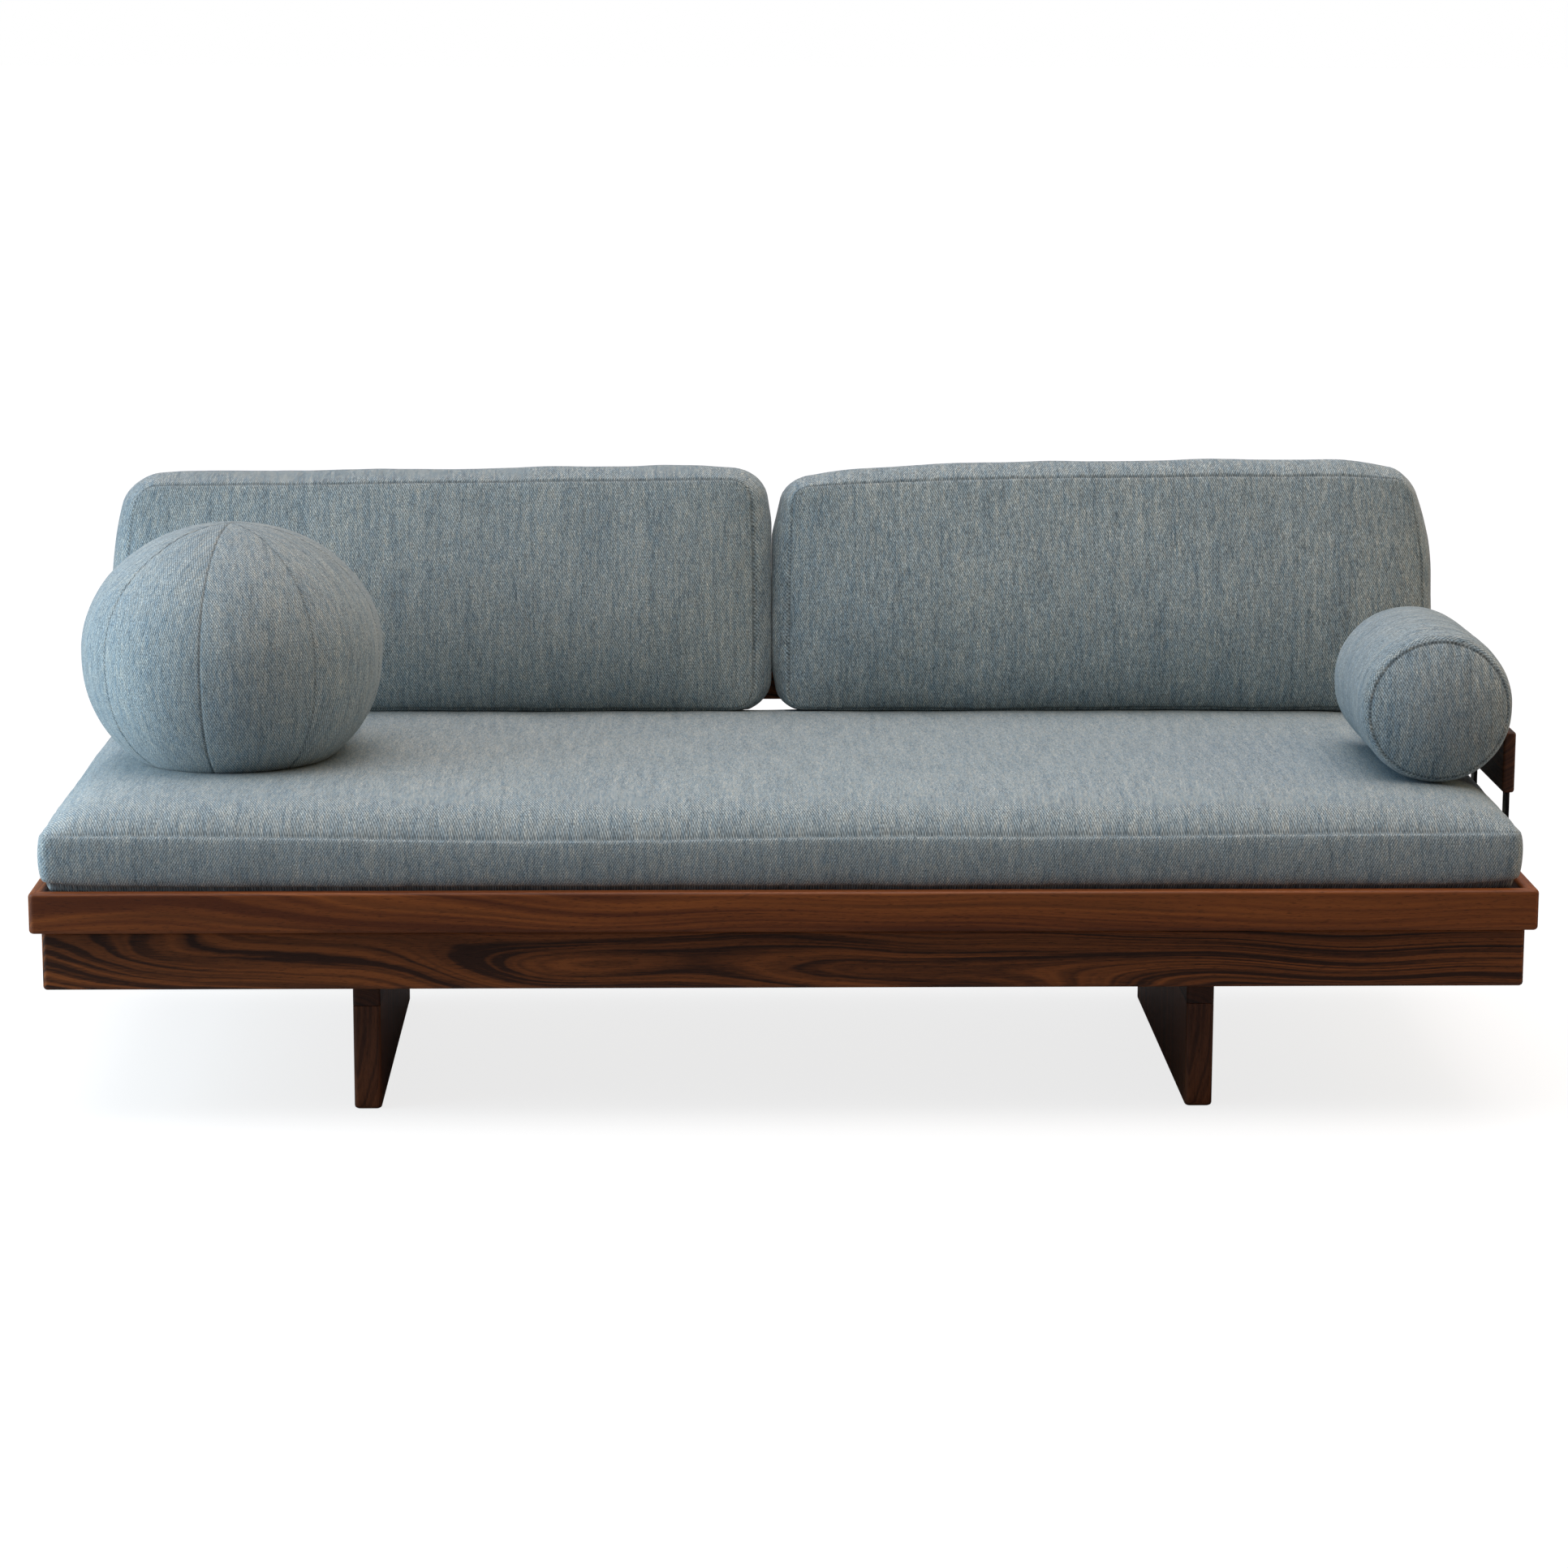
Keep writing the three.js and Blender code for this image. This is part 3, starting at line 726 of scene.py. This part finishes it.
def fold_corners(a, b, half_a, half_b, radius):
    """Moves each corner square of a rectangle onto a quarter disc; the rest stays where it is.

    In the square, with m and n from 0 to 1, the disc's point is (m sqrt(1 - n^2/2), n sqrt(1 - m^2/2)).
    """
    m = np.clip((np.abs(a) - (half_a - radius)) / radius, 0, 1)
    n = np.clip((np.abs(b) - (half_b - radius)) / radius, 0, 1)
    in_a = half_a - radius + radius * m * np.sqrt(1 - n * n / 2)
    in_b = half_b - radius + radius * n * np.sqrt(1 - m * m / 2)
    new_a = np.where(m > 0, np.sign(a) * in_a, a)
    new_b = np.where(n > 0, np.sign(b) * in_b, b)
    return new_a, new_b


def edge_loop(grid):
    """The outer points of a grid, once round, with the first one repeated at the end."""
    return np.concatenate([grid[0, :-1], grid[:-1, -1], grid[-1, :0:-1], grid[::-1, 0]])


def boxed(half_a, half_b, thickness, radius, fronts, bulges, corner, cells=7 * MM, power=0.8,
          ends_along=True):
    """Patches of a boxed form in local a, b (across the panel) and c (out of the front panel).

    fronts says how far the front and the back panel stand out at (a, b). The strip's point is the
    edge point, pushed out by bulge x sin(pi t)^power. bulges are for the sides at low a, high a,
    low b and high b. corner is how much less the strip stands out at a corner, and how far that reaches.
    The warp runs across the strip, but with ends_along it runs along it on the sides at low and high a.
    """
    a = spread(2 * half_a, 1.4 * MM, cells, 8 * MM) - half_a
    b = spread(2 * half_b, 1.4 * MM, cells, 8 * MM) - half_b
    b, a = np.meshgrid(b, a, indexing="ij")
    away = np.minimum(half_a - np.abs(a), half_b - np.abs(b))
    flat_a, flat_b = fold_corners(a, b, half_a, half_b, radius)
    flat = np.stack([flat_a, flat_b], axis=-1)
    patches = []
    for sign, front in zip((1, -1), fronts):
        c = sign * (thickness / 2 + front(a, b))
        patches.append(Patch(np.concatenate([flat, c[..., None]], axis=-1), flat + sign, away))

    loop = edge_loop(flat)
    core = np.clip(loop, [radius - half_a, radius - half_b], [half_a - radius, half_b - radius])
    out = loop - core
    out /= np.linalg.norm(out, axis=1, keepdims=True)
    sides = np.stack([-out[:, 0], out[:, 0], -out[:, 1], out[:, 1]], axis=1)
    bulge = (np.clip(sides, 0, None) ** 2) @ np.array(bulges)
    less, reach = corner
    to_corner = np.hypot(half_a - np.abs(loop[:, 0]), half_b - np.abs(loop[:, 1]))
    bulge = bulge * (1 - less * np.exp(-(to_corner / reach) ** 2))
    around = np.append(0, np.cumsum(np.linalg.norm(np.diff(loop, axis=0), axis=1)))
    depth = spread(thickness, 1.4 * MM, 5 * MM, 8 * MM)
    push = np.clip(np.sin(np.pi * depth / thickness), 0, 1) ** power
    ring = loop + out * (push[:, None, None] * bulge[:, None])
    c = np.broadcast_to((thickness / 2 - depth)[:, None], ring.shape[:2])
    points = np.concatenate([ring, c[..., None]], axis=-1)
    across = np.stack(np.broadcast_arrays(around, (depth + 3)[:, None]), axis=-1)
    strip_away = np.minimum(depth, thickness - depth)[:, None]
    start = 0
    for side in range(4):
        upright = side % 2 == 1
        stop = start + flat.shape[0 if upright else 1]
        cloth = across[:, start:stop]
        if upright and ends_along:
            cloth = cloth[..., ::-1]
        patches.append(Patch(points[:, start:stop], cloth, strip_away))
        start = stop - 1
    return patches


def move(mesh, points):
    """Puts the mesh's points in new places."""
    mesh.vertices.foreach_set("co", np.ascontiguousarray(points).ravel())
    mesh.update()


def wrinkle(mesh, seed, amount, groove):
    """Puckers that run out of the seams and die away, slow unevenness, and the seams' own groove."""
    points, away = get_points(mesh), get_floats(mesh, "away")
    pucker = ripple(points, 30 * MM, seed) * np.exp(-away / (20 * MM)) * 0.9 * MM
    slow = ripple(points, 190 * MM, seed + 1) * 1.8 * MM + ripple(points, 75 * MM, seed + 2) * 0.5 * MM
    lift = (pucker + slow) * amount - get_floats(mesh, "seam") * groove
    move(mesh, points + get_normals(mesh) * lift[:, None])


print("boxed form ready")

# %% [markdown]
# ## The mattress
# The mattress is a foam slab in a sewn cover. Its top panel rises quickly from the seam and is then
# nearly flat, and its boxing strip leans out over the tray's rim. Its front seam hangs a little between
# the ends, and it gives under the ball pillow and the bolster. Its height is kept as a function of
# place, because all that lies on it has to follow the same surface.

# %% Make the mattress
BED_LOW, BED_HIGH = (np.array(corner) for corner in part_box("mattress_cover"))
BED_MIDDLE = (BED_LOW + BED_HIGH) / 2
BED_SEAM, BED_UNDER = 0.4065, 0.334
BED_BULGE = 7 * MM
BED_CORNER = 15 * MM
BED_HALF = (BED_HIGH - BED_LOW)[:2] / 2 - (BED_BULGE - 1 * MM)
BED_RISE = BED_HIGH[2] - BED_SEAM
BALL_LOW, BALL_HIGH = (np.array(corner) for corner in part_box("ball_pillow_cover"))
BALL_MIDDLE = (BALL_LOW + BALL_HIGH) / 2
ROLL_LOW, ROLL_HIGH = (np.array(corner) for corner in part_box("bolster_cover"))
ROLL_MIDDLE = (ROLL_LOW + ROLL_HIGH) / 2


def slab_rise(a, b):
    """How far the top stands above its seam: a quick rise at the edge, then a slow one."""
    rise = BED_RISE
    for offset, half in ((a, BED_HALF[0]), (b, BED_HALF[1])):
        inside = np.clip(half - np.abs(offset), 0, None)
        rise = rise * (1 - 0.55 * np.exp(-inside / (18 * MM)) - 0.45 * np.exp(-inside / (70 * MM)))
    return rise


def under_rise(a, b):
    """How far the underside hangs below its seam: it is flat again a few millimetres in."""
    inside = np.minimum(BED_HALF[0] - np.abs(a), BED_HALF[1] - np.abs(b))
    return (BED_UNDER - BED_LOW[2] - 1 * MM) * (1 - np.exp(-np.clip(inside, 0, None) / (5 * MM)))


def bed_drop(x, y):
    """How far the top is below its plain form: the hollows under the loads, and the slack seam."""
    ball = np.exp(-(((x - BALL_MIDDLE[0]) ** 2 + (y - BALL_MIDDLE[1]) ** 2) / 0.15 ** 2)) * 8 * MM
    roll = np.exp(-((x - ROLL_MIDDLE[0]) / 0.09) ** 2 - ((y - ROLL_MIDDLE[1]) / 0.18) ** 4) * 4 * MM
    slack = np.exp(-((x + 0.31) / 0.38) ** 2) * 9 * MM + np.exp(-((x - 0.42) / 0.30) ** 2) * 4 * MM
    return ball + roll + slack * np.exp(-np.clip(y - BED_LOW[1], 0, None) / 0.10)


def bed_top(x, y):
    """The mattress's height at (x, y)."""
    a = np.clip(x - BED_MIDDLE[0], -BED_HALF[0], BED_HALF[0])
    b = np.clip(y - BED_MIDDLE[1], -BED_HALF[1], BED_HALF[1])
    return BED_SEAM + slab_rise(a, b) - bed_drop(x, y)


def build_mattress():
    thickness = BED_SEAM - BED_UNDER
    fronts = (slab_rise, under_rise)
    patches = boxed(*BED_HALF, thickness, BED_CORNER, fronts, [BED_BULGE] * 4, (0.1, 30 * MM),
                    9 * MM, 0.4, False)
    mesh = sew("mattress", patches)
    points = get_points(mesh) + [BED_MIDDLE[0], BED_MIDDLE[1], (BED_SEAM + BED_UNDER) / 2]
    x, y, z = points.T
    upper = np.clip((z - BED_UNDER) / thickness, 0, 1)
    from_corner = np.hypot(BED_HALF[0] - np.abs(x - BED_MIDDLE[0]), BED_HALF[1] - np.abs(y - BED_MIDDLE[1]))
    lifted = np.exp(-(from_corner / 0.045) ** 2) * (1 - upper) ** 2
    points[:, 2] = z - bed_drop(x, y) * upper + lifted * 5 * MM
    # below the rim's top the cover has to fit between the rails
    tuck = np.clip((0.345 - z) / 0.03, 0, 1)[:, None] * [0.0065, 0.0104] + lifted[:, None] * [0.002, 0.004]
    points[:, :2] = BED_MIDDLE[:2] + (points[:, :2] - BED_MIDDLE[:2]) * (1 - tuck)
    move(mesh, points)
    wrinkle(mesh, 11, 0.7, 1.1 * MM)
    nodes = ["mattress_cover", "mattress_filling", "mattress_zip"]
    cloth = melange("mattress_cloth", 0.0, 0.15)
    piece = place("mattress", mesh, cloth, "mattress", nodes)
    return piece


mattress = build_mattress()

# %% [markdown]
# ## The back cushions
# Each stands on its long edge and leans on the back board. The front panel has a low belly, so its
# upper part looks up and its lower part looks down. The boxing is fuller than the panel's corners,
# which makes the outline rounder than the seam, and the outer end leans in towards the top. Where the
# cushion stands it is flat, because its points may not go below the mattress's own surface.


# %% Make the back cushions
CUSHION_FOOT, CUSHION_HEAD = 0.457, 0.8045
CUSHION_THICKNESS = 92 * MM
CUSHION_LEAN = 15 * MM


def rest_on_bed(mesh):
    """Lifts every point that would be inside the mattress onto its surface."""
    points = get_points(mesh)
    floor = bed_top(points[:, 0], points[:, 1]) + 0.6 * MM
    points[:, 2] = np.maximum(points[:, 2], floor)
    move(mesh, points)


def belly(half_a, half_b, quick, slow):
    """A panel's bulge: quick over the first 2 cm from its seam, and a slow arch that hangs low."""
    def rise(a, b):
        from_a = np.clip(half_a - np.abs(a), 0, None)
        from_b = np.clip(half_b - np.abs(b), 0, None)
        skin = (1 - np.exp(-from_a / (20 * MM))) * (1 - np.exp(-from_b / (20 * MM)))
        v = np.clip(b / half_b, -1, 1)
        arch = (1 - np.clip(np.abs(a) / half_a, 0, 1) ** 5) * (1 - v ** 2) * (1 - 0.5 * v)
        return quick * skin + slow * arch
    return rise


def build_cushion(name, ends, between, bulges, lean, round_off, top_line, seed):
    """A boxed form stood up: local a runs along X, b up, and c to the front.

    ends are the seam's places at the left and right, and between holds the limits that a neighbour
    or a free end sets. bulges are as in boxed. lean is how far each end leans in on top, and
    round_off is the seam's corner radius and how much less the boxing stands out there.
    """
    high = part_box(f"{name}_cover")[1]
    half_a, half_b = (ends[1] - ends[0]) / 2, (CUSHION_HEAD - CUSHION_FOOT) / 2
    thickness = CUSHION_THICKNESS
    fronts = (belly(half_a, half_b, 5 * MM, 42 * MM), belly(half_a, half_b, 3 * MM, 2 * MM))
    patches = boxed(half_a, half_b, thickness, round_off[0], fronts, bulges, (round_off[1], 60 * MM))
    mesh = sew(name, patches)
    a, b, c = get_points(mesh).T
    up = np.clip((b + half_b) / (2 * half_b), 0, 1.05)
    x = (ends[0] + ends[1]) / 2 + a
    left = np.clip(-a / half_a, 0, 1) ** 4
    right = np.clip(a / half_a, 0, 1) ** 4
    x = x + (left * lean[0] - right * lean[1]) * up ** 3.5
    thinner = 1.06 - 0.16 * up
    y = high.y - 11.5 * MM - thickness / 2 - c * thinner + (up - 0.5) * CUSHION_LEAN
    z = (CUSHION_FOOT + CUSHION_HEAD) / 2 + b + top_line(x) * up
    move(mesh, np.stack([x, y, z], axis=1))
    wrinkle(mesh, seed, 1.0, 1.8 * MM)
    points = get_points(mesh)
    points[:, 1] = np.minimum(points[:, 1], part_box("back_board")[0].y - 0.5 * MM)
    points[:, 0] = np.clip(points[:, 0], *between)
    move(mesh, points)
    rest_on_bed(mesh)
    nodes = [f"{name}_cover", f"{name}_filling", f"{name}_zip"]
    cloth = melange(f"{name}_cloth", seed * 1.37, 0.4)
    piece = place(name, mesh, cloth, name, nodes)
    return piece


def left_top(x):
    """How far the left cushion's top seam is off its mean height: it climbs a little to the right."""
    return -0.0035 + 0.010 * (x + 0.1)


def right_top(x):
    """The right cushion's top seam sinks towards its inner corner and a little at its outer end."""
    slack = np.exp(-np.clip(x - 0.02, 0, None) / 0.25) * 18 * MM
    return 0.003 - slack - np.clip(x - 0.85, 0, None) * 0.05


TOUCH = -5 * MM
SKIN = 0.3 * MM
left_cushion = build_cushion("left_back_cushion", (-0.972, -0.033), (-1, TOUCH - SKIN),
                             (28 * MM, 33 * MM, 16 * MM, 16 * MM), (22 * MM, 5 * MM),
                             (34 * MM, 0.25), left_top, 21)
right_cushion = build_cushion("right_back_cushion", (0.0205, 0.977), (TOUCH + SKIN, 1),
                              (31 * MM, 20 * MM, 16 * MM, 19 * MM), (6 * MM, 26 * MM),
                              (26 * MM, 0.45), right_top, 31)

# %% [markdown]
# ## The ball pillow
# Eight gores meet at a pole on top and one below. A gore is a little flatter than the ball across its
# width, and each seam lies in a shallow groove. The ball is wider than tall, and its lower half is
# fuller than its upper one, because it sits.


# %% Make the ball pillow
GORES = 8


def build_ball():
    """Ring radius = R (1 - |z / h|^n)^(1/n), with n = 2 above the middle and 2.3 below it."""
    radius = (BALL_HIGH - BALL_LOW)[0] / 2
    above, below = 176 * MM, 190 * MM
    centre = np.array([BALL_MIDDLE[0], BALL_MIDDLE[1], BALL_HIGH[2] - above])
    latitude = np.linspace(-np.pi / 2, np.pi / 2, 121)
    height = np.sin(latitude)
    power = np.where(latitude < 0, 2.3, 2.0)
    ring = radius * np.clip(1 - np.abs(height) ** power, 0, None) ** (1 / power)
    z = height * np.where(latitude < 0, below, above)
    along = np.append(0, np.cumsum(np.hypot(np.diff(ring), np.diff(z))))
    share = spread(1.0, 0.008, 0.045, 0.05)
    across = 2 * share - 1
    start = math.radians(-96.6)
    patches = []
    for gore in range(GORES):
        longitude = start + (gore + share) * 2 * np.pi / GORES
        swell = 0.996 + 0.010 * (1 - across ** 2)
        flat = ring[:, None] * swell
        points = np.stack(np.broadcast_arrays(flat * np.cos(longitude), flat * np.sin(longitude),
                                              z[:, None]), axis=-1)
        width = ring[:, None] * (np.pi / GORES) * across
        cloth = np.stack(np.broadcast_arrays(width + gore * 0.7, along[:, None] + gore * 0.31), axis=-1)
        away = ring[:, None] * (np.pi / GORES) * (1 - np.abs(across))
        patches.append(Patch(points + centre, cloth, away))
    mesh = sew("ball_pillow", patches)
    wrinkle(mesh, 41, 0.7, 1.2 * MM)
    rest_on_bed(mesh)
    nodes = ["ball_pillow_cover", "ball_pillow_filling", "ball_pillow_zip"]
    cloth = melange("ball_cloth", 5.1, 0.3)
    piece = place("ball_pillow", mesh, cloth, "ball_pillow", nodes)
    return piece


ball = build_ball()

# %% [markdown]
# ## The bolster
# A short, fat roll with a sewn round cap at each end. The cap is a little smaller than the roll and
# slightly domed, and the cover is slack, so it has a few rings of wrinkles near the front.


# %% Make the bolster
CAP_SHIFT = np.array([2.5, 0, -5]) * MM


def build_bolster():
    """A profile of (radius, place along Y) turned round the axis: cap, shoulder, body, shoulder, cap."""
    radius = (ROLL_HIGH - ROLL_LOW)[0] / 2 + 2 * MM
    half = (ROLL_HIGH - ROLL_LOW)[1] / 2
    cap, dome, shoulder = 95 * MM, 28 * MM, 26 * MM
    angle = spread(2 * np.pi, 0.03, 0.045, 0.09)
    patches = []
    for sign in (-1, 1):
        r = cap * (1 - spread(1.0, 0.012, 0.05, 0.1)[::-1])[:, None]
        y = sign * (half - dome * (r / cap) ** 2.4)
        flat = [r * np.cos(angle), r * np.sin(angle)]
        points = np.stack(np.broadcast_arrays(flat[0], y, flat[1]), axis=-1) + CAP_SHIFT
        patches.append(Patch(points + ROLL_MIDDLE, np.stack(flat, axis=-1) + sign * 2.3, cap - r))
    turn = np.linspace(0, np.pi / 2, 14)
    end_r = cap + (radius - cap) * np.sin(turn)
    end_y = half - dome - shoulder * (1 - np.cos(turn))
    body_y = np.linspace(end_y[-1], -end_y[-1], 46)[1:-1]
    r = np.concatenate([end_r, np.full(len(body_y), radius), end_r[::-1]])[:, None]
    y = np.concatenate([end_y, body_y, -end_y[::-1]])
    run = np.append(0, np.cumsum(np.hypot(np.diff(r[:, 0]), np.diff(y))))
    from_front = half + y[:, None]
    away = np.minimum(run, run[-1] - run)[:, None]
    slack = np.exp(-((from_front - 0.075) / 0.035) ** 2) * np.clip(away / 0.02, 0, 1)
    waves = slack * np.sin((from_front - 0.02) * 2 * np.pi / 0.038) * 1.5 * MM
    above = np.clip(np.sin(angle) * 0.8 - np.cos(angle) * 0.4, 0, 1)
    r = r + waves * above
    y = y[:, None] + np.sin(angle * 3 + 1) * 1.5 * MM * slack
    points = np.stack([r * np.cos(angle), y, r * np.sin(angle)], axis=-1)
    near_cap = np.clip(1 - away / 0.09, 0, 1) ** 2
    points = points + near_cap[..., None] * CAP_SHIFT
    cloth = np.stack([y, np.broadcast_to(angle * radius, y.shape)], axis=-1)
    patches.append(Patch(points + ROLL_MIDDLE, cloth, away))
    mesh = sew("bolster", patches)
    wrinkle(mesh, 51, 0.8, 0.9 * MM)
    rest_on_bed(mesh)
    nodes = ["bolster_cover", "bolster_filling", "bolster_zip"]
    cloth = melange("bolster_cloth", 8.3, 0.35)
    piece = place("bolster", mesh, cloth, "bolster", nodes)
    return piece


bolster = build_bolster()

# %% [markdown]
# ## The floor and the light
# The bed stands in a pale, empty room. The light is soft: a bright ceiling, a cooler window on the left,
# a pale wall behind and little from the front, so that tops are light and fronts are darker. The sky's
# colour by direction gives that, and three soft lamps stand nearer, because light from near by fades
# along the bed. The floor looks nearly white, but gives back little light to the bed, as a distant
# studio floor does.


# %% Light the scene
GLOWS = [
    ((0, 0, 1), 8, (3.30, 3.14, 3.14)),
    ((-0.906, 0, 0.423), 8, (0.50, 0.91, 1.33)),
    ((0.43, -0.31, 0.85), 8, (0.30, 0.14, 0.04)),
    ((0, 0.966, 0.259), 6, (0.50, 0.50, 0.50)),
]
AMBIENT = (0.01, 0.01, 0.01)
LAMPS = [
    ((-1.85, -0.45, 0.72), (-0.7, -0.15, 0.55), 0.9, 12.2, (0.75, 0.91, 1.0)),
    ((2.6, -0.3, 1.3), (0.6, 0.1, 0.5), 1.2, 7.0, (1.0, 0.89, 0.62)),
    ((0.15, -0.75, 1.65), (0.1, 0.1, 0.5), 0.8, 3.4, (0.95, 1.0, 0.92)),
]
FLOOR_REACH = 60
FLOOR_SEEN = (0.80, 0.80, 0.80, 1)
FLOOR_PAINT = (0.3, 0.3, 0.3, 1)


def build_floor():
    """A wide square that glows for the camera only, so that it looks paler than its paint."""
    reach = FLOOR_REACH
    corners = [(-reach, -reach, 0), (reach, -reach, 0), (reach, reach, 0), (-reach, reach, 0)]
    mesh = new_mesh("floor", np.array(corners, float), [(0, 1, 2, 3)])
    floor = bpy.data.objects.new("floor", mesh)
    scene.collection.objects.link(floor)
    finish = Finish("floor")
    seen = finish.node("LightPath", {}, {}).outputs["Is Camera Ray"]
    finish.show(FLOOR_PAINT, 0.9)
    glow = finish.mix(seen, (0, 0, 0, 1), FLOOR_SEEN)
    finish.feed(finish.shader.inputs["Emission Color"], glow)
    finish.shader.inputs["Emission Strength"].default_value = 1.0
    finish.shader.inputs["Specular IOR Level"].default_value = 0.0
    mesh.materials.append(finish.material)
    floor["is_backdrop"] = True


def build_world():
    """Brightness of the sky by direction: a ceiling, a window, a wall behind, and a dim rest."""
    world = bpy.data.worlds.new("studio")
    world.use_nodes = True
    scene.world = world
    tree = world.node_tree
    background = tree.nodes["Background"]

    def add(kind, settings, inputs):
        made = tree.nodes.new("ShaderNode" + kind)
        for key, value in settings.items():
            setattr(made, key, value)
        for key, value in inputs.items():
            if isinstance(value, bpy.types.NodeSocket):
                tree.links.new(value, made.inputs[key])
            else:
                made.inputs[key].default_value = value
        return made

    spot = add("TexCoord", {}, {}).outputs["Generated"]

    def towards(direction, power, tint):
        """Light from about one direction: the cosine to it, to a power, times a colour."""
        dot = add("VectorMath", {"operation": "DOT_PRODUCT"}, {0: spot, 1: direction}).outputs["Value"]
        kept = add("Math", {"operation": "MAXIMUM"}, {0: dot, 1: 0.0}).outputs[0]
        raised = add("Math", {"operation": "POWER"}, {0: kept, 1: power}).outputs[0]
        return add("VectorMath", {"operation": "SCALE"}, {0: tint, "Scale": raised}).outputs[0]

    total = (0.0, 0.0, 0.0)
    for direction, power, tint in GLOWS:
        lit = towards(direction, power, tint)
        total = add("VectorMath", {"operation": "ADD"}, {0: total, 1: lit}).outputs[0]
    total = add("VectorMath", {"operation": "ADD"}, {0: total, 1: AMBIENT}).outputs[0]
    seen = add("LightPath", {}, {}).outputs["Is Camera Ray"]
    mixed = add("Mix", {"data_type": "RGBA"}, {0: seen, 6: total, 7: (1, 1, 1, 1)}).outputs[2]
    tree.links.new(mixed, background.inputs["Color"])
    background.inputs["Strength"].default_value = 1.0


def build_lamps():
    """Square soft lamps: where each is, what it points at, its size, its power and its colour."""
    for number, (stand, target, size, power, tint) in enumerate(LAMPS):
        data = bpy.data.lights.new(f"lamp_{number}", "AREA")
        data.size = size
        data.energy = power
        data.color = tint
        lamp = bpy.data.objects.new(f"lamp_{number}", data)
        lamp.location = stand
        lamp.visible_camera = False
        lamp.rotation_euler = (Vector(target) - Vector(stand)).to_track_quat("-Z", "Y").to_euler()
        scene.collection.objects.link(lamp)


build_floor()
build_world()
build_lamps()
scene.view_settings.view_transform = "Standard"
scene.view_settings.look = "None"
print(f"{len(GLOWS)} glows and {len(LAMPS)} lamps")

# %% Measure and finish
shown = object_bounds()
print("visual box", [round(v, 3) for v in (*shown[0], *shown[1])])
